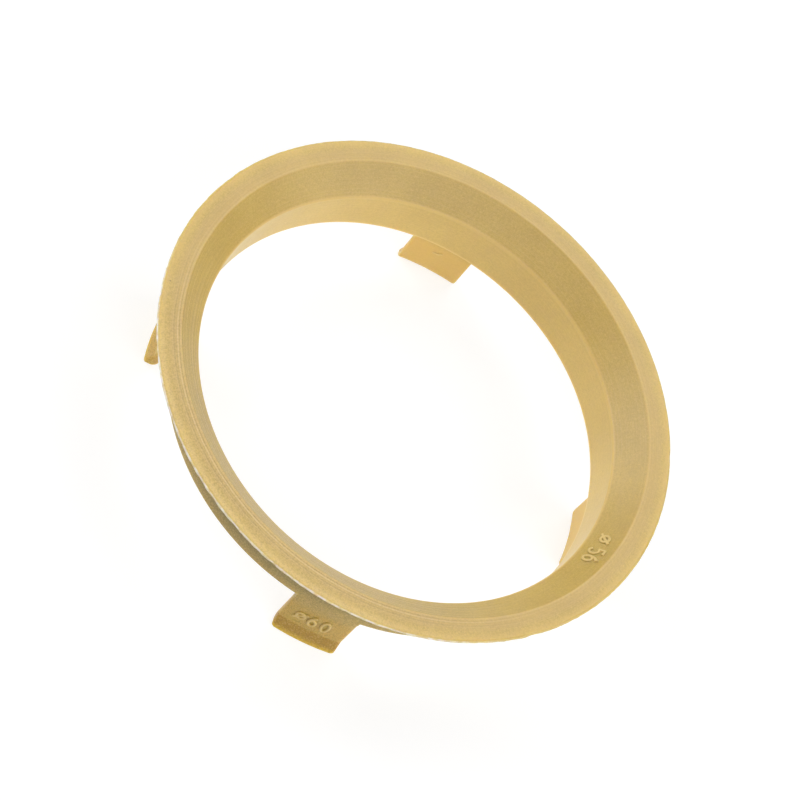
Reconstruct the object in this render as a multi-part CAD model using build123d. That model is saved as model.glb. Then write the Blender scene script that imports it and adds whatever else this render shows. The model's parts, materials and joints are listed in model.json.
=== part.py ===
from build123d import *
from math import radians, tan
import os

# Hub centring ring: one moulded plastic ring that fills the gap between a wheel's bore and the hub.
# A flared collar leads into a plain bore, and snap clips with barbed tips hang from the wall's far end.
# The ring stands on its clip tips with the collar up: +Z is its axis, the origin is in the plane of the
# tips, and the first clip is on +X. Lengths are in millimetres, angles in degrees.

# Bore, which takes the hub, and wall, whose outside is the spigot that fills the wheel's bore
bore_diameter = 56.1
wall_thickness = 2.0
spigot_length = 4.75

# Collar: its reach beyond the spigot, the slope of its back, and the funnel that opens its mouth
collar_reach = 4.45
collar_slope = 45.0
collar_edge = 0.5
rim_width = 3.0
mouth_depth = 3.4

# Clips, flush with the spigot on the outside and set back from the bore on the inside
clip_count = 4
clip_drop = 7.3
clip_width = 8.5
clip_setback = 1.0

# Barb on each clip's tip: a catch face that slopes out to a narrow ridge
barb_reach = 0.75
catch_height = 1.75
ridge_height = 0.25

# Chamfers and roundings of the ring's edges
rim_chamfer = 0.2
wall_end_chamfer = 0.5
bore_end_chamfer = 0.15
mouth_round = 0.3
throat_round = 0.4
collar_foot_round = 0.6

# Roundings of the clips' edges
clip_root_round = 0.4
clip_corner_round = 0.6
clip_tip_round = 0.8
catch_round = 0.3
ridge_round = 0.12

# Radii
bore_radius = bore_diameter / 2
spigot_radius = bore_radius + wall_thickness
collar_radius = spigot_radius + collar_reach
mouth_radius = collar_radius - rim_width
clip_inner_radius = bore_radius + clip_setback
ridge_radius = spigot_radius + barb_reach

# Heights above the clip tips
catch_top = ridge_height + catch_height
wall_end = clip_drop
collar_foot = wall_end + spigot_length
collar_back = collar_foot + collar_reach * tan(radians(collar_slope))
rim = collar_back + collar_edge
throat = rim - mouth_depth

# Root of a clip inside the wall, up to where the chamfer of the wall's end begins
root_radius = bore_radius + clip_setback / 2
root_top = wall_end + wall_end_chamfer


def turned(corners):
    """Solid of revolution about Z. Each corner of its section is a radius, a height and a rounding."""
    points = [(radius, height) for radius, height, rounding in corners]
    roundings = [rounding for radius, height, rounding in corners]
    with BuildPart() as solid:
        with BuildSketch(Plane.XZ):
            with BuildLine():
                FilletPolyline(*points, radius=roundings, close=True)
            make_face()
        revolve(axis=Axis.Z)
    return solid.part


def collar_and_wall():
    """The ring without its clips."""
    return turned(
        [
            (mouth_radius, rim, mouth_round),
            (collar_radius - rim_chamfer, rim, 0),
            (collar_radius, rim - rim_chamfer, 0),
            (collar_radius, collar_back, 0),
            (spigot_radius, collar_foot, collar_foot_round),
            (spigot_radius, wall_end + wall_end_chamfer, 0),
            (spigot_radius - wall_end_chamfer, wall_end, 0),
            (bore_radius + bore_end_chamfer, wall_end, 0),
            (bore_radius, wall_end + bore_end_chamfer, 0),
            (bore_radius, throat, throat_round),
        ]
    )


def barbed_hoop():
    """A full hoop with the clips' section: spigot side, barb, tip, inner side and a fillet at the root."""
    return turned(
        [
            (spigot_radius, root_top, 0),
            (spigot_radius, catch_top, catch_round),
            (ridge_radius, ridge_height, ridge_round),
            (ridge_radius, 0, ridge_round),
            (clip_inner_radius, 0, clip_tip_round),
            (clip_inner_radius, wall_end, clip_root_round),
            (root_radius, wall_end, 0),
            (root_radius, root_top, 0),
        ]
    )


def snap_clip():
    """One clip: the hoop cut to the clip's outline, which has straight sides and rounded tip corners."""
    half_width = clip_width / 2
    with BuildPart() as clip:
        add(barbed_hoop())
        with BuildSketch(Plane.YZ):
            with BuildLine():
                FilletPolyline(
                    (half_width, rim),
                    (half_width, 0),
                    (-half_width, 0),
                    (-half_width, rim),
                    radius=[0, clip_corner_round, clip_corner_round, 0],
                    close=True,
                )
            make_face()
        extrude(amount=collar_radius, mode=Mode.INTERSECT)
    return clip.part


with BuildPart() as centring_ring:
    add(collar_and_wall())
    with PolarLocations(0, clip_count):
        add(snap_clip())

os.makedirs("parts", exist_ok=True)
export_step(centring_ring.part, "parts/centring_ring.step")
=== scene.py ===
import json
from math import atan2, cos, hypot, radians, sin, sqrt, tau
from random import Random

import bmesh
import bpy
from mathutils import Matrix, Vector, noise


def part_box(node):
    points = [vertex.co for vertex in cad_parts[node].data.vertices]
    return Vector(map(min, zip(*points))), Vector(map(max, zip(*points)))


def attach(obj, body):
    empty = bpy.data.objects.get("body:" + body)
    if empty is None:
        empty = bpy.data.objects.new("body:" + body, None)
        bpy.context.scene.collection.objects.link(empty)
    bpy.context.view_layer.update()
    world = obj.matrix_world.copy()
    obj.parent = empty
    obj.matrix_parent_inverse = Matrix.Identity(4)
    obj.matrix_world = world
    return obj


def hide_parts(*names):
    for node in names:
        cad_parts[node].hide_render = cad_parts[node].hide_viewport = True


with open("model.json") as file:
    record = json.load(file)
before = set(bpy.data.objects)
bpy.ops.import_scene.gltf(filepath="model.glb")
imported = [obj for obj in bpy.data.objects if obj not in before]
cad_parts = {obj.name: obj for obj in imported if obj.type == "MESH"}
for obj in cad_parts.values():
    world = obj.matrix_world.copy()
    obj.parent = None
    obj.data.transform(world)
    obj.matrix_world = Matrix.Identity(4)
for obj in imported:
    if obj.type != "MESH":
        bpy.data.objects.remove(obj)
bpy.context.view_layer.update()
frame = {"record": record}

# Ring: collar, wall and snap clips, moulded in one shot from matt, slightly translucent, sand-coloured
# plastic. The mould was turned on a lathe, which left fine lines round the faces, and it closed at the
# collar's outer edge, where a pale, ragged flash stands. Shapes are in millimetres until finished.
mm = 0.001
ring_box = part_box("centring_ring")
mounts = {mount["name"]: mount["dims"] for mount in frame["record"]["mounts"]}
bore_radius = mounts["hub_bore"]["r_mm"]
spigot_radius = mounts["wheel_spigot"]["r_mm"]
spigot_length = mounts["wheel_spigot"]["length_mm"]
collar_radius = ring_box[1].x / mm
rim_height = ring_box[1].z / mm
rim_width = 3.0
rim_chamfer = 0.2
collar_edge = 0.5
mouth_depth = 3.4
bore_end_chamfer = 0.15
wall_end_chamfer = 0.5
mouth_radius = collar_radius - rim_width
throat_height = rim_height - mouth_depth
collar_back = rim_height - collar_edge
collar_foot = collar_back - (collar_radius - spigot_radius)
wall_end = collar_foot - spigot_length
chamfer_radius = spigot_radius - wall_end_chamfer
chamfer_top = wall_end + wall_end_chamfer

clip_count = 4
clip_half_width = 4.25
clip_setback = 1.0
clip_root_round = 0.4
clip_corner_round = 0.35
clip_tip_round = 1.3
clip_edge_round = 0.28
clip_inner_radius = bore_radius + clip_setback
clip_root_radius = clip_inner_radius - clip_root_round
barb_reach = 0.75
catch_height = 1.75
catch_blend = 0.06
ridge_height = 0.25
ridge_round = 0.12
catch_top = ridge_height + catch_height

# Side of the ring, as an angle from +X, on which the lathe's lines and the flash stand out most
streak_side = radians(240)

# Flash, and the waves and nicks of the collar's edge. A nick is cut where a wave of its own, shifted off
# the others, rises past its start. Evenness is how much of all this doesn't lean to the streaked side.
flash_reach = 0.1
flash_half_height = 0.08
flash_height = rim_height - rim_chamfer
ragged_band = 1.5 * rim_chamfer
ragged_depth = 0.07
ragged_evenness = 0.65
long_waves_per_mm = 0.9
short_waves_per_mm = 2.3
short_wave_share = 0.7
nick_depth = 0.45
nick_waves_per_mm = 0.45
nick_start = 0.38
nick_shift = Vector((50, 0, 0))

# Fineness of the mesh, depth of the lathe's lines in it, the gap within which its points are welded, and
# the angle from which an edge shades sharp
steps_round_ring = 704
steps_half_clip = 16
step_turn = tau / steps_round_ring
root_rungs = 6
shank_rungs = 5
tip_rungs = 9
line_depth = 0.003
weld_reach = 0.002
sharp_angle = radians(32)

# Corners of the ring's section: radius, height, how far the corner's rounding reaches along each side,
# and how many lathe lines the side that follows it has
section_corners = [
    (mouth_radius, rim_height, 0.13, 9),
    (collar_radius - rim_chamfer, rim_height, 0.07, 0),
    (collar_radius, flash_height + flash_half_height, 0, 0),
    (collar_radius + flash_reach, flash_height, 0.03, 0),
    (collar_radius, flash_height - flash_half_height, 0, 0),
    (collar_radius, collar_back, 0.1, 6),
    (spigot_radius, collar_foot, 0.25, 6),
    (spigot_radius, chamfer_top, 0, 4),
    (chamfer_radius, wall_end, 0, 8),
    (clip_root_radius, wall_end, 0, 1),
    (bore_radius + bore_end_chamfer, wall_end, 0.04, 0),
    (bore_radius, wall_end + bore_end_chamfer, 0.04, 16),
    (bore_radius, throat_height, 0.17, 18),
]


def turned_ring():
    """The ring without its clips: its section, scored by the lathe's lines, spun round the axis."""
    ring = bmesh.new()
    draw = Random(7)
    outline = []
    rounded = []
    for corner, following in zip(section_corners, section_corners[1:] + section_corners[:1]):
        radius, height, reach, lines = corner
        start = Vector((radius, 0, height))
        side = Vector((following[0], 0, following[1])) - start
        outward = side.cross(Vector((0, 1, 0))).normalized()
        outline.append(ring.verts.new(start))
        if reach:
            rounded.append((outline[-1], reach))
        for line in range(1, lines + 1):
            scored = start + side * line / (lines + 1) + outward * draw.uniform(-line_depth, line_depth)
            outline.append(ring.verts.new(scored))
    ring.faces.new(outline)
    for vert, reach in rounded:
        bmesh.ops.bevel(
            ring, geom=[vert], offset=reach, offset_type="OFFSET", affect="VERTICES",
            segments=4, profile=0.5, material=-1,
        )
    bmesh.ops.delete(ring, geom=ring.faces[:], context="FACES_ONLY")
    wedge = steps_half_clip * step_turn
    bmesh.ops.spin(
        ring, geom=ring.verts[:] + ring.edges[:], cent=(0, 0, 0), axis=(0, 0, 1),
        angle=wedge, steps=steps_half_clip,
    )
    bmesh.ops.spin(
        ring, geom=ring.verts[:] + ring.edges[:] + ring.faces[:], cent=(0, 0, 0), axis=(0, 0, 1),
        angle=tau - wedge, steps=steps_round_ring // steps_half_clip - 1, use_duplicate=True,
    )
    bmesh.ops.remove_doubles(ring, verts=ring.verts, dist=weld_reach)
    bmesh.ops.recalc_face_normals(ring, faces=ring.faces)
    return ring


def clip_radii(height):
    """Inner and outer radius of a clip at a height above its tip."""
    inner = clip_inner_radius
    root_centre = wall_end - clip_root_round
    if height > root_centre:
        inner -= clip_root_round - sqrt(max(0, clip_root_round**2 - (height - root_centre) ** 2))
    if height < clip_tip_round:
        inner += clip_tip_round - sqrt(clip_tip_round**2 - (clip_tip_round - height) ** 2)
    slope = barb_reach / catch_height
    above_ridge = catch_top - max(height, ridge_height)
    if abs(above_ridge) < catch_blend:
        outer = spigot_radius + slope * (above_ridge + catch_blend) ** 2 / (4 * catch_blend)
    else:
        outer = spigot_radius + slope * max(0, above_ridge)
    if height < ridge_round:
        outer -= ridge_round - sqrt(ridge_round**2 - (ridge_round - height) ** 2)
    return inner, outer


def clip_half(height, depth):
    """Half the width of a clip at a height above its tip, and at a share of its depth from the inside."""
    inner, outer = clip_radii(height)
    from_face = min(depth, 1 - depth) * (outer - inner)
    half_width = clip_half_width
    if height < clip_corner_round:
        half_width -= clip_corner_round - sqrt(clip_corner_round**2 - (clip_corner_round - height) ** 2)
    if from_face < clip_edge_round:
        rounding = clip_edge_round - sqrt(clip_edge_round**2 - (clip_edge_round - from_face) ** 2)
        half_width -= rounding * min(1, (wall_end - height) / clip_root_round)
    return half_width


def rung_heights():
    """Heights of a clip's rungs from its root down, close together round each bend of its section."""
    shank_top = wall_end - clip_root_round
    root = {wall_end - clip_root_round * (step / root_rungs) ** 2 for step in range(1, root_rungs + 1)}
    shank = {catch_top + (shank_top - catch_top) * step / shank_rungs for step in range(1, shank_rungs)}
    catch = {catch_top + catch_blend * step / 2 for step in range(-2, 3)}
    tip = {clip_tip_round * (step / tip_rungs) ** 2 for step in range(tip_rungs + 1)}
    return sorted(root | shank | catch | tip | {ridge_height}, reverse=True)


def clip_axes(place):
    """The directions along and across the clip that is nearest to a place."""
    turn = round(atan2(place.y, place.x) / tau * clip_count) * tau / clip_count
    return Vector((cos(turn), sin(turn), 0)), Vector((-sin(turn), cos(turn), 0))


def turn_from_clip(place):
    """How far a place is from the middle of the nearest clip, as an angle round the axis."""
    along, across = clip_axes(place)
    return abs(atan2(place.dot(across), place.dot(along)))


def grow_clips(ring):
    """The clips, drawn down out of the wall's end face together, in thin rungs that follow their section."""

    def in_root(face):
        centre = face.calc_center_median()
        if centre.z > chamfer_top or not clip_root_radius < centre.xy.length < spigot_radius:
            return False
        return turn_from_clip(centre) < steps_half_clip * step_turn

    tips = [face for face in ring.faces if in_root(face)]
    for vert in {vert for face in tips for vert in face.verts}:
        if turn_from_clip(vert.co) > (steps_half_clip - 0.5) * step_turn:
            along, across = clip_axes(vert.co)
            offset = clip_half_width if vert.co.dot(across) > 0 else -clip_half_width
            ahead = sqrt(vert.co.xy.length_squared - offset**2)
            vert.co.xy = (along * ahead + across * offset).xy
    above = wall_end
    inner_above, outer_above = clip_root_radius, spigot_radius
    for height in rung_heights():
        inner, outer = clip_radii(height)
        drawn = bmesh.ops.extrude_face_region(ring, geom=tips)["geom"]
        bmesh.ops.delete(ring, geom=tips, context="FACES")
        tips = [part for part in drawn if isinstance(part, bmesh.types.BMFace)]
        for vert in [part for part in drawn if isinstance(part, bmesh.types.BMVert)]:
            along, across = clip_axes(vert.co)
            depth = (vert.co.xy.length - inner_above) / (outer_above - inner_above)
            depth = min(1, max(0, depth))
            radius = inner + depth * (outer - inner)
            offset = vert.co.dot(across) / clip_half(above, depth) * clip_half(height, depth)
            vert.co = along * sqrt(radius**2 - offset**2) + across * offset
            vert.co.z = height
        above, inner_above, outer_above = height, inner, outer


def rag_collar_edge(ring):
    """Small waves and nicks along the collar's outer edge and its flash, deepest on the streaked side."""
    for vert in ring.verts:
        radius = vert.co.xy.length
        if radius > collar_radius - ragged_band and vert.co.z > collar_back - rim_chamfer:
            wave = noise.noise(vert.co * long_waves_per_mm)
            wave += short_wave_share * noise.noise(vert.co * short_waves_per_mm)
            nick = max(0, noise.noise(vert.co * nick_waves_per_mm + nick_shift) - nick_start)
            edge = min(1, (radius - collar_radius + ragged_band) / rim_chamfer)
            turn_from_streaks = atan2(vert.co.y, vert.co.x) - streak_side
            edge *= ragged_evenness + (1 - ragged_evenness) * cos(turn_from_streaks)
            vert.co.xy *= 1 + edge * (ragged_depth * wave - nick_depth * nick) / radius


class Signal:
    """One output of a shader node. Arithmetic on it adds Math nodes to the same material."""

    def __init__(self, socket):
        self.socket = socket

    def out(self, name):
        """Another output of the same node."""
        return Signal(self.socket.node.outputs[name])

    def node(self, kind, settings, inputs, output=0):
        """A new node beside this one: settings first, then the values or links of its sockets."""
        made = self.socket.id_data.nodes.new("ShaderNode" + kind)
        for name, value in settings.items():
            setattr(made, name, value)
        feed(made, inputs)
        return Signal(made.outputs[output])

    def math(self, operation, *others):
        return self.node("Math", {"operation": operation}, dict(enumerate((self, *others))))

    def __add__(self, other):
        return self.math("ADD", other)

    def __sub__(self, other):
        return self.math("SUBTRACT", other)

    def __rsub__(self, other):
        return self * -1 + other

    def __mul__(self, other):
        return self.math("MULTIPLY", other)

    def __truediv__(self, other):
        return self.math("DIVIDE", other)

    __radd__ = __add__
    __rmul__ = __mul__

    def root(self):
        return self.math("SQRT")

    def larger(self, other):
        return self.math("MAXIMUM", other)

    def ramp(self, low, high):
        """0 below low, 1 above high, smooth between; falls instead where low is the larger."""
        return self.node(
            "MapRange", {"interpolation_type": "SMOOTHSTEP"},
            {"Value": self, "From Min": low, "From Max": high},
        )

    def between(self, first, second):
        """The colour that lies this share, from 0 to 1, of the way from one colour to another."""
        return self.node("Mix", {"data_type": "RGBA"}, {0: self, 6: first, 7: second}, 2)


def feed(node, inputs):
    """Sets a node's sockets, to a value or to a signal that is linked in."""
    for name, value in inputs.items():
        if isinstance(value, Signal):
            node.id_data.links.new(value.socket, node.inputs[name])
        else:
            node.inputs[name].default_value = value


def colour(red, green, blue):
    """A colour given as it shows on screen, from 0 to 255, in the linear form that shaders take."""
    shown = [part / 255 for part in (red, green, blue)]
    return *[part / 12.92 if part <= 0.04045 else ((part + 0.055) / 1.055) ** 2.4 for part in shown], 1


# Colours of the plastic: in bulk, on the rim, in the funnel and bore, on the clips, and under the collar.
# Some are painted light and shade: the glow through the collar's edge and the clip tips, the sheen on rim
# and bore, the light on the clips away from the streaked side, and the shade on the catch faces and on the
# wall under the collar.
sand_shade = colour(192, 162, 79)
sand_light = colour(220, 190, 103)
rim_pink = colour(206, 173, 105)
rim_edge_glow = colour(222, 192, 108)
rim_sheen_cream = colour(242, 218, 160)
funnel_olive = colour(186, 156, 62)
bore_sheen_cream = colour(224, 195, 124)
clip_inner_gold = colour(226, 190, 104)
clip_outer_gold = colour(216, 176, 56)
clip_painted_light = colour(246, 208, 104)
catch_painted_shade = colour(176, 132, 8)
tip_painted_glow = colour(230, 198, 48)
# painted shade for the wall under the collar
painted_collar_shade = colour(128, 114, 60)

# Colours of the lathe's lines, the pits of rough faces, the painted highlights along edges, the flash with
# its painted edge highlight, and the specks
line_light = colour(224, 200, 146)
line_dark = colour(170, 142, 82)
pit_light = colour(238, 212, 150)
pit_dark = colour(138, 112, 60)
mouth_highlight = colour(232, 208, 150)
throat_highlight = colour(232, 204, 140)
bore_end_highlight = colour(246, 216, 146)
flash_and_edge_highlight = colour(255, 243, 232)
speck_brown = colour(120, 92, 55)

# Sizes of what shows in the plastic's surface, from fine to broad, the depth of its relief, how close the
# specks and the lathe's lines are, and how far those lines wander
fine_grain = 0.14
pit_size = 0.18
coarse_grain = 0.32
gloss_patch = 0.7
ripple_size = 0.8
flash_patch = 0.9
mottle_size = 6
relief_depth = 0.03
specks_per_mm = 0.3
lines_per_mm = 4.2
line_wander = 0.3
line_wander_size = 9

# Depth to which light spreads inside the plastic, and how far its red, green and blue go of that
glow_depth = 0.9
glow_reach = (1.0, 0.85, 0.25)


class RingPlace:
    """Where a material is on the ring, as signals: millimetres from the axis and above the clip tips, how
    far it faces the streaked side, from -1 to 1, the faces it is on, and its grain and lathe lines there."""

    def __init__(self, metres):
        self.point = metres.node("VectorMath", {"operation": "SCALE"}, {0: metres, "Scale": 1 / mm})
        x = self.point.node("SeparateXYZ", {}, {0: self.point}, "X")
        y = x.out("Y")
        self.height = x.out("Z")
        self.radius = (x * x + y * y).root()
        self.facing = (x * cos(streak_side) + y * sin(streak_side)) / self.radius
        self.outside = self.radius.ramp(clip_inner_radius + 0.1, spigot_radius - 0.1)
        self.in_bore = self.radius.ramp(bore_radius + 0.25, bore_radius + 0.05)
        self.in_mouth = self.height.ramp(throat_height, throat_height + 1)
        self.grain = self.cloud(fine_grain) * 0.6 + self.cloud(coarse_grain) * 0.4
        across_lines = self.radius + self.height + self.cloud(line_wander_size) * line_wander
        self.lines = across_lines.node(
            "TexNoise", {"noise_dimensions": "1D"}, {"W": across_lines, "Scale": lines_per_mm, "Detail": 3},
        )
        self.streaky = self.facing.ramp(0.2, 0.95) * self.radius.ramp(mouth_radius + 1.6, mouth_radius + 0.2)
        self.streaky *= self.in_mouth

    def cloud(self, size, detail=2):
        """Smooth noise round 0.5, in patches of a size."""
        return self.point.node("TexNoise", {}, {"Vector": self.point, "Scale": 1 / size, "Detail": detail})

    def near_edge(self, edge_radius, edge_height, reach):
        """1 on a circle round the axis, falling to 0 at that reach from it."""
        aside, above = self.radius - edge_radius, self.height - edge_height
        return (aside * aside + above * above).root().ramp(reach, 0.2 * reach)


# Tints of the plastic, face by face: each is a colour and the share of it that covers the tints before it


def collar_tints(at):
    """Rim pinker on its inner side; yellow by its edge, a painted glow of light through the thin edge;
    creamy there on the streaked side, a painted sheen; olive funnel.
    """
    on_rim = at.height.ramp(rim_height - 0.15, rim_height - 0.03)
    inner_rim = on_rim * at.radius.ramp(collar_radius - 0.9, collar_radius - 1.8)
    outer_band = at.radius.ramp(collar_radius - 1.3, collar_radius - 0.4)
    outer_band *= at.height.ramp(collar_back - 1, collar_back)
    funnel_line = bore_radius - throat_height
    funnel = (at.radius - at.height).ramp(funnel_line + 0.8, funnel_line + 0.3) * (1 - on_rim)
    return [
        (rim_pink, inner_rim * 0.45),
        # painted light: yellow glow of light through the thin outer edge
        (rim_edge_glow, outer_band * 0.5),
        # painted sheen: cream on the outer edge on the streaked side
        (rim_sheen_cream, outer_band * at.facing.ramp(0.5, 0.9) * 0.2),
        (funnel_olive, funnel * 0.25),
    ]


def line_tints(at):
    """Lathe lines, light and dark: faint all over, strong on the streaked side of funnel and inner rim."""
    return [
        (line_light, at.lines.ramp(0.5, 0.64) * (0.08 + at.streaky * 0.6)),
        (line_dark, at.lines.ramp(0.5, 0.36) * (0.06 + at.streaky * 0.7)),
    ]


def clip_tints(at):
    """Clips golden; painted shade on the catch face, a painted glow of light through the tip along it, and
    painted light that makes them paler away from the streaked side.
    """
    on_clips = at.height.ramp(wall_end, wall_end - 2)
    catch_face = at.outside * at.height.ramp(catch_top + 0.05, catch_top - 0.15)
    return [
        (clip_inner_gold, on_clips * (1 - at.outside) * 0.7),
        (clip_outer_gold, on_clips * at.outside * 0.6),
        # painted shade: the catch face darkened where the collar shades it
        (catch_painted_shade, catch_face * 0.65),
        # painted light: the tip brightened as if light from the floor glowed through it
        (tip_painted_glow, at.outside * at.height.ramp(1.0, 0.2) * 0.75),
        # painted light: the clips away from the streaked side lightened where the lamps leave them too dark
        (clip_painted_light, on_clips * at.outside * at.facing.ramp(0.8, 0.6) * 0.45),
    ]


def shade_and_pit_tints(at):
    """Painted shade on the wall under the collar, and pits where the mould was left rough: outside the wall
    and clips, fading up the collar's back, and on the streaked side of funnel and rim."""
    foot_line = spigot_radius - collar_foot
    # Painted shade on the wall just under the collar, where the collar overhangs it
    collar_shade_zone = (at.radius - at.height).ramp(foot_line - 2, foot_line - 1) * at.outside
    collar_shade_zone *= at.height.ramp(wall_end + 0.5, wall_end + 3)
    collar_shade_zone *= at.height.ramp(collar_back, collar_back - 0.3)
    rough = 0.55 * (at.facing.ramp(0.2, 0.9) * at.in_mouth)
    rough = rough.larger(at.outside * at.height.ramp(collar_back, collar_foot))
    pits = at.cloud(pit_size, 0)
    return [
        (painted_collar_shade, collar_shade_zone * 0.6),
        (pit_light, pits.ramp(0.5, 0.75) * rough * 0.26),
        (pit_dark, pits.ramp(0.5, 0.25) * rough * 0.34),
    ]


def edge_tints(at):
    """Painted highlights along the mouth, throat and bore end, and the flash, whitish in patches on the
    streaked side, where the white over the collar's edge face is partly painted highlight.
    """
    flash = at.radius.ramp(collar_radius - 0.1, collar_radius + 0.02)
    flash *= at.height.ramp(collar_back - 0.1, collar_back + 0.1)
    # The flash is real; the white over the whole edge face, strongest on the streaked side, is painted
    # highlight
    flash *= 0.1 + 0.9 * at.facing.ramp(0.4, 0.68)
    flash *= 0.25 + at.cloud(flash_patch).ramp(0.35, 0.6) * 0.65
    return [
        # painted highlights along the rounded edges of mouth, throat and bore end
        (mouth_highlight, at.near_edge(mouth_radius + 0.1, rim_height, 0.2) * 0.16),
        (throat_highlight, at.near_edge(bore_radius, throat_height, 0.5) * 0.32),
        (bore_end_highlight, at.near_edge(bore_radius + 0.1, wall_end + 0.1, 0.5) * 0.6),
        (flash_and_edge_highlight, flash),
    ]


def speck_and_bore_tints(at):
    """A few specks of dark dust in the plastic, and painted sheen that makes the bore paler; the bore came
    off a polished core.
    """
    cells = at.point.node("TexVoronoi", {}, {"Vector": at.point, "Scale": specks_per_mm}, "Distance")
    chosen = cells.node("SeparateColor", {}, {0: cells.out("Color")}).ramp(0.8, 0.82)
    return [
        (speck_brown, cells.ramp(0.035, 0.02) * chosen * 0.6),
        # painted sheen: the bore lightened towards white
        (bore_sheen_cream, at.in_bore * 0.35),
    ]


def sand_plastic(name, translucency, *own_tints):
    """The ring's matt plastic: sand colour with fine grain over a broad mottle, and the tints of each face.
    Translucency is the share of light that spreads inside, and own_tints are a piece's further tints."""
    material = bpy.data.materials.new(name)
    material.use_nodes = True
    nodes = material.node_tree.nodes
    at = RingPlace(Signal(nodes.new("ShaderNodeTexCoord").outputs["Object"]))
    body = (at.grain * 0.75 + at.cloud(mottle_size) * 0.25).ramp(0.3, 0.7).between(sand_shade, sand_light)
    face_tints = (collar_tints, line_tints, clip_tints, shade_and_pit_tints, edge_tints)
    for tints in (*face_tints, *own_tints, speck_and_bore_tints):
        for tint, share in tints(at):
            body = share.between(body, tint)
    relief = at.grain + at.lines * (0.1 + at.streaky * 0.5) + at.cloud(ripple_size) * 0.4
    relief *= 1 - 0.6 * at.in_bore
    bump = relief.node("Bump", {}, {"Height": relief, "Strength": 0.5, "Distance": relief_depth * mm})
    feed(nodes["Principled BSDF"], {
        "Base Color": body,
        "Roughness": 0.38 + 0.12 * at.cloud(gloss_patch) - 0.05 * at.lines - 0.04 * at.in_bore,
        "Normal": bump,
        "Subsurface Weight": translucency,
        "Subsurface Radius": glow_reach,
        "Subsurface Scale": glow_depth * mm,
    })
    return material


def finished(name, shape, material):
    """A piece of the ring from a mesh in millimetres: smooth, in metres, and carried by the ring."""
    bmesh.ops.scale(shape, vec=(mm, mm, mm), verts=shape.verts)
    mesh = bpy.data.meshes.new(name)
    shape.to_mesh(mesh)
    shape.free()
    mesh.shade_smooth()
    mesh.set_sharp_from_angle(angle=sharp_angle)
    mesh.materials.append(material)
    piece = bpy.data.objects.new(name, mesh)
    bpy.context.scene.collection.objects.link(piece)
    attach(piece, "root")
    return piece


ring_shape = turned_ring()
grow_clips(ring_shape)
rag_collar_edge(ring_shape)
ring = finished("moulded_ring", ring_shape, sand_plastic("sand_plastic", 1))
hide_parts("centring_ring")

# Raised size marks: a diameter sign and a plain whole number on the funnel and on one clip, and a tick
# inside another clip. Their round strokes were cut into the mould with a ball-nosed cutter, so they
# stand up as part of the ring, and handling has rubbed their tops pale.
digit_height = 2.1
stroke_radius = 0.22
stroke_sink = 0.02
funnel_slope = hypot(mouth_radius - bore_radius, mouth_depth)
funnel_mark_turn = radians(346.2)
funnel_mark_foot = 1.5
funnel_mark_radius = 30.0
clip_mark_turn = radians(264.4)
clip_mark_foot = 3.2
tick_radius = 0.6 * stroke_radius
tick_turn = radians(91.75)
tick_foot = 4.56

# Rubbed tops, and feet painted with shade, of the strokes; the tick is tinted as if it stood higher, so that
# its feet get no painted shade
stroke_pale = colour(244, 216, 150)
stroke_foot_shade = colour(140, 112, 58)
tick_lift = 0.1

# Fineness of a round stroke: degrees to a step, and the least steps of a bow
bow_step = 12
least_bow_steps = 6


def bow(middle_x, middle_y, half_width, half_height, first, last):
    """Points along an arc of an ellipse, from one angle to another in degrees."""
    count = max(least_bow_steps, round(abs(last - first) / bow_step))
    turns = [radians(first + (last - first) * step / count) for step in range(count + 1)]
    return [(middle_x + half_width * cos(turn), middle_y + half_height * sin(turn)) for turn in turns]


# Strokes of each sign, in a cell as high as a digit: true where a stroke closes on itself, and its points
sign_strokes = {
    "diameter": [(True, bow(0.41, 0.48, 0.25, 0.28, 0, 348)), (False, [(0.05, 0.11), (0.79, 0.86)])],
    "5": [
        (False, [(0.41, 1), (0.06, 1), (0.03, 0.58)]),
        (False, bow(0.19, 0.33, 0.22, 0.33, 130, -150)),
    ],
    "6": [(True, bow(0.21, 0.31, 0.21, 0.31, 0, 348)), (False, bow(0.44, 0.31, 0.44, 0.69, 104, 180))],
    "0": [(True, bow(0.21, 0.5, 0.21, 0.5, 0, 348))],
    "tick": [(False, [(0, 0), (0.34, 0), (0.6, 0.19)])],
}


def on_funnel(ahead, up):
    """A place on the funnel: ahead runs clockwise seen from the collar, up the slope to the rim."""
    rise = (funnel_mark_foot + up) / funnel_slope
    radius = bore_radius + rise * (mouth_radius - bore_radius) + stroke_sink
    turn = funnel_mark_turn - ahead / funnel_mark_radius
    return Vector((radius * cos(turn), radius * sin(turn), throat_height + rise * mouth_depth - stroke_sink))


def on_clip(ahead, up):
    """A place on the outer face of the clip that hangs at the front."""
    turn = clip_mark_turn + ahead / spigot_radius
    radius = spigot_radius - stroke_sink
    return Vector((radius * cos(turn), radius * sin(turn), clip_mark_foot + up))


def in_clip(ahead, up):
    """A place on the inner face of the clip that hangs at the back."""
    turn = tick_turn - ahead / clip_inner_radius
    radius = clip_inner_radius + stroke_sink
    return Vector((radius * cos(turn), radius * sin(turn), tick_foot + up))


def stroke_tints(at):
    """Painted shade at the feet and rubbed pale tops, by how far a place stands proud of the funnel or of
    a clip's two faces.
    """
    funnel_face = bore_radius + (at.height - throat_height) * ((mouth_radius - bore_radius) / mouth_depth)
    proud = (funnel_face - at.radius) * (mouth_depth / funnel_slope)
    proud = proud.larger(at.radius - spigot_radius)
    proud = proud.larger(clip_inner_radius - at.radius + tick_lift)
    return [
        # painted shade at the strokes' feet, where they meet the face
        (stroke_foot_shade, proud.ramp(0.09, 0.0) * 0.5),
        (stroke_pale, proud.ramp(0.05, 0.16) * 0.5),
    ]


rubbed_plastic = sand_plastic("rubbed_plastic", 0, stroke_tints)


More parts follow.
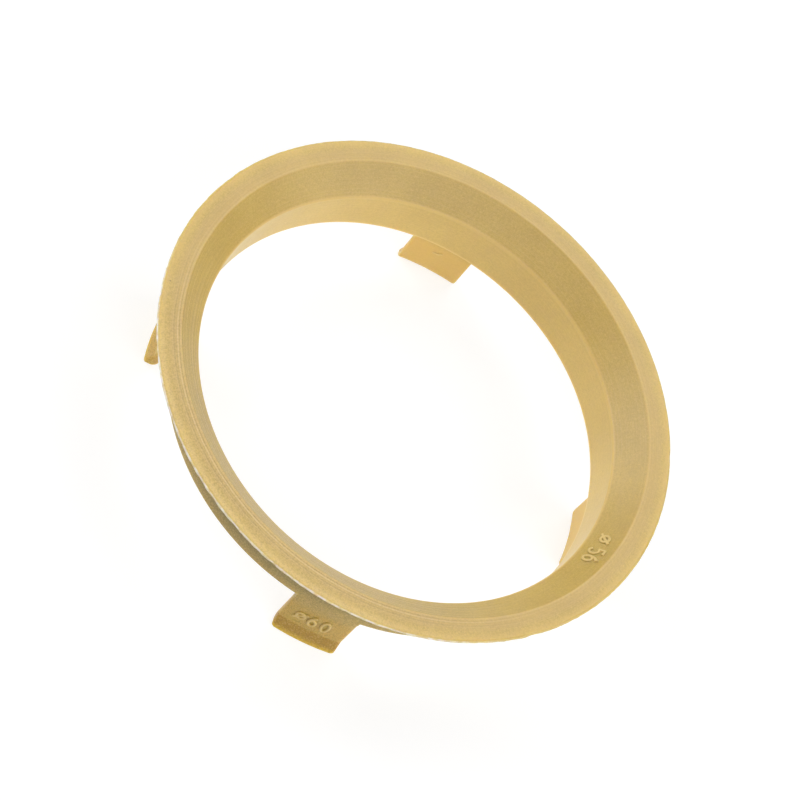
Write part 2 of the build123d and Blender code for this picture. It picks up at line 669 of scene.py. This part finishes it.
def raised_mark(name, starts, on_face, thickness):
    """A row of signs, each with its start along the row, as round strokes half sunk in a face."""
    strokes = bpy.data.curves.new(name, "CURVE")
    strokes.dimensions = "3D"
    strokes.bevel_depth = thickness * mm
    strokes.bevel_resolution = 3
    strokes.use_fill_caps = True
    for sign, start in starts.items():
        for closed, points in sign_strokes[sign]:
            line = strokes.splines.new("POLY")
            line.points.add(len(points) - 1)
            line.use_cyclic_u = closed
            for point, (right, up) in zip(line.points, points):
                place = on_face(start + right * digit_height, up * digit_height) * mm
                point.co = (*place, 1)
    guide = bpy.data.objects.new(name, strokes)
    shape = bmesh.new()
    shape.from_mesh(bpy.data.meshes.new_from_object(guide))
    bpy.data.objects.remove(guide)
    bmesh.ops.scale(shape, vec=(1 / mm, 1 / mm, 1 / mm), verts=shape.verts)
    bmesh.ops.remove_doubles(shape, verts=shape.verts, dist=weld_reach)
    bmesh.ops.recalc_face_normals(shape, faces=shape.faces)
    return finished(name, shape, rubbed_plastic)


raised_mark("funnel_mark", {"diameter": 0, "5": 2.8, "6": 4.28}, on_funnel, stroke_radius)
raised_mark("clip_mark", {"diameter": 0, "6": 2.05, "0": 3.75}, on_clip, stroke_radius)
raised_mark("clip_tick", {"tick": 0}, in_clip, tick_radius)

# Studio: a wide white floor under the clip tips, lit from below inside and round the ring as on a light
# table, and soft boxes above. The floor and what lies beyond it show white, apart from the shadow.
floor_half = 3.0
floor_grey = (0.35, 0.35, 0.35, 1)
lamp_size = 0.6
lamp_distance = 0.8

# The table's light inside the ring and round it, out to these distances from the axis, and the light that
# the floor shows of itself near the ring, which rises to full white between two distances
glow_inside = 29 * mm
glow_outside = 110 * mm
inside_light = 0.51
round_light = 0.325
shown_near_ring = 0.735
white_start = 0.2
white_end = 1.0

floor_shape = bmesh.new()
bmesh.ops.create_grid(floor_shape, x_segments=1, y_segments=1, size=floor_half)
floor_mesh = bpy.data.meshes.new("floor")
floor_shape.to_mesh(floor_mesh)
floor_shape.free()
floor = bpy.data.objects.new("floor", floor_mesh)
bpy.context.scene.collection.objects.link(floor)


def seen(signal):
    """1 for rays that show a surface: from the camera, in gloss or through glass."""
    path = signal.node("LightPath", {}, {}, "Is Camera Ray")
    return path.larger(path.out("Is Glossy Ray")).larger(path.out("Is Transmission Ray"))


white_floor = bpy.data.materials.new("white_floor")
white_floor.use_nodes = True
floor_nodes = white_floor.node_tree.nodes
floor_place = Signal(floor_nodes.new("ShaderNodeTexCoord").outputs["Object"])
from_axis = floor_place.node("VectorMath", {"operation": "LENGTH"}, {0: floor_place}, "Value")
table_light = round_light * from_axis.ramp(glow_outside, 0.65 * glow_outside)
table_light += inside_light * from_axis.ramp(1.15 * glow_inside, 0.85 * glow_inside)
shown_light = shown_near_ring + (1 - shown_near_ring) * from_axis.ramp(white_start, white_end)
feed(floor_nodes["Principled BSDF"], {
    "Base Color": floor_grey,
    "Roughness": 1.0,
    "Specular IOR Level": 0.0,
    "Emission Color": table_light + seen(floor_place) * (shown_light - table_light),
    "Emission Strength": 1.0,
})
floor_mesh.materials.append(white_floor)

world = bpy.data.worlds.new("studio")
world.use_nodes = True
bpy.context.scene.world = world
sky = world.node_tree.nodes["Background"]
feed(sky, {"Color": (1, 1, 1, 1), "Strength": seen(Signal(sky.outputs[0]))})


def soft_box(name, azimuth, elevation, power):
    """A square area light that faces the ring, seen from it at an azimuth from +X and an elevation."""
    lamp = bpy.data.lights.new(name, "AREA")
    lamp.size = lamp_size
    lamp.energy = power
    light = bpy.data.objects.new(name, lamp)
    turn, rise = radians(azimuth), radians(elevation)
    out = Vector((cos(turn) * cos(rise), sin(turn) * cos(rise), sin(rise)))
    light.location = out * lamp_distance
    light.rotation_euler = out.to_track_quat("Z", "Y").to_euler()
    bpy.context.scene.collection.objects.link(light)


soft_box("back_box", 70, 50, 2.4)
soft_box("left_box", 160, 30, 4.0)
soft_box("right_box", 340, 30, 2.66)
soft_box("front_box", 250, 60, 1.38)
soft_box("front_right_box", 295, 30, 1.82)

# Camera: it looks down on the ring from the front and a little from the left, and is tilted on its side,
# as the photograph was. Its three directions are those of the picture's right, its top and its viewer.
lens_length = 126.7
sensor_width = 36
camera_aim = Vector((0.152, 2.085, 8.486)) * mm
camera_distance = 352.83 * mm
camera_right = Vector((0.8745, 0.2538, 0.4134))
camera_up = Vector((-0.4398, 0.7743, 0.4549))
camera_back = camera_right.cross(camera_up).normalized()
camera_data = bpy.data.cameras.new("camera")
camera_data.lens = lens_length
camera_data.sensor_width = sensor_width
camera = bpy.data.objects.new("camera", camera_data)
turned_to_ring = Matrix((camera_right, camera_up, camera_back)).transposed().to_4x4()
camera.matrix_world = Matrix.Translation(camera_aim + camera_back * camera_distance) @ turned_to_ring
bpy.context.scene.collection.objects.link(camera)
bpy.context.scene.camera = camera
bpy.context.scene.view_settings.view_transform = "Standard"
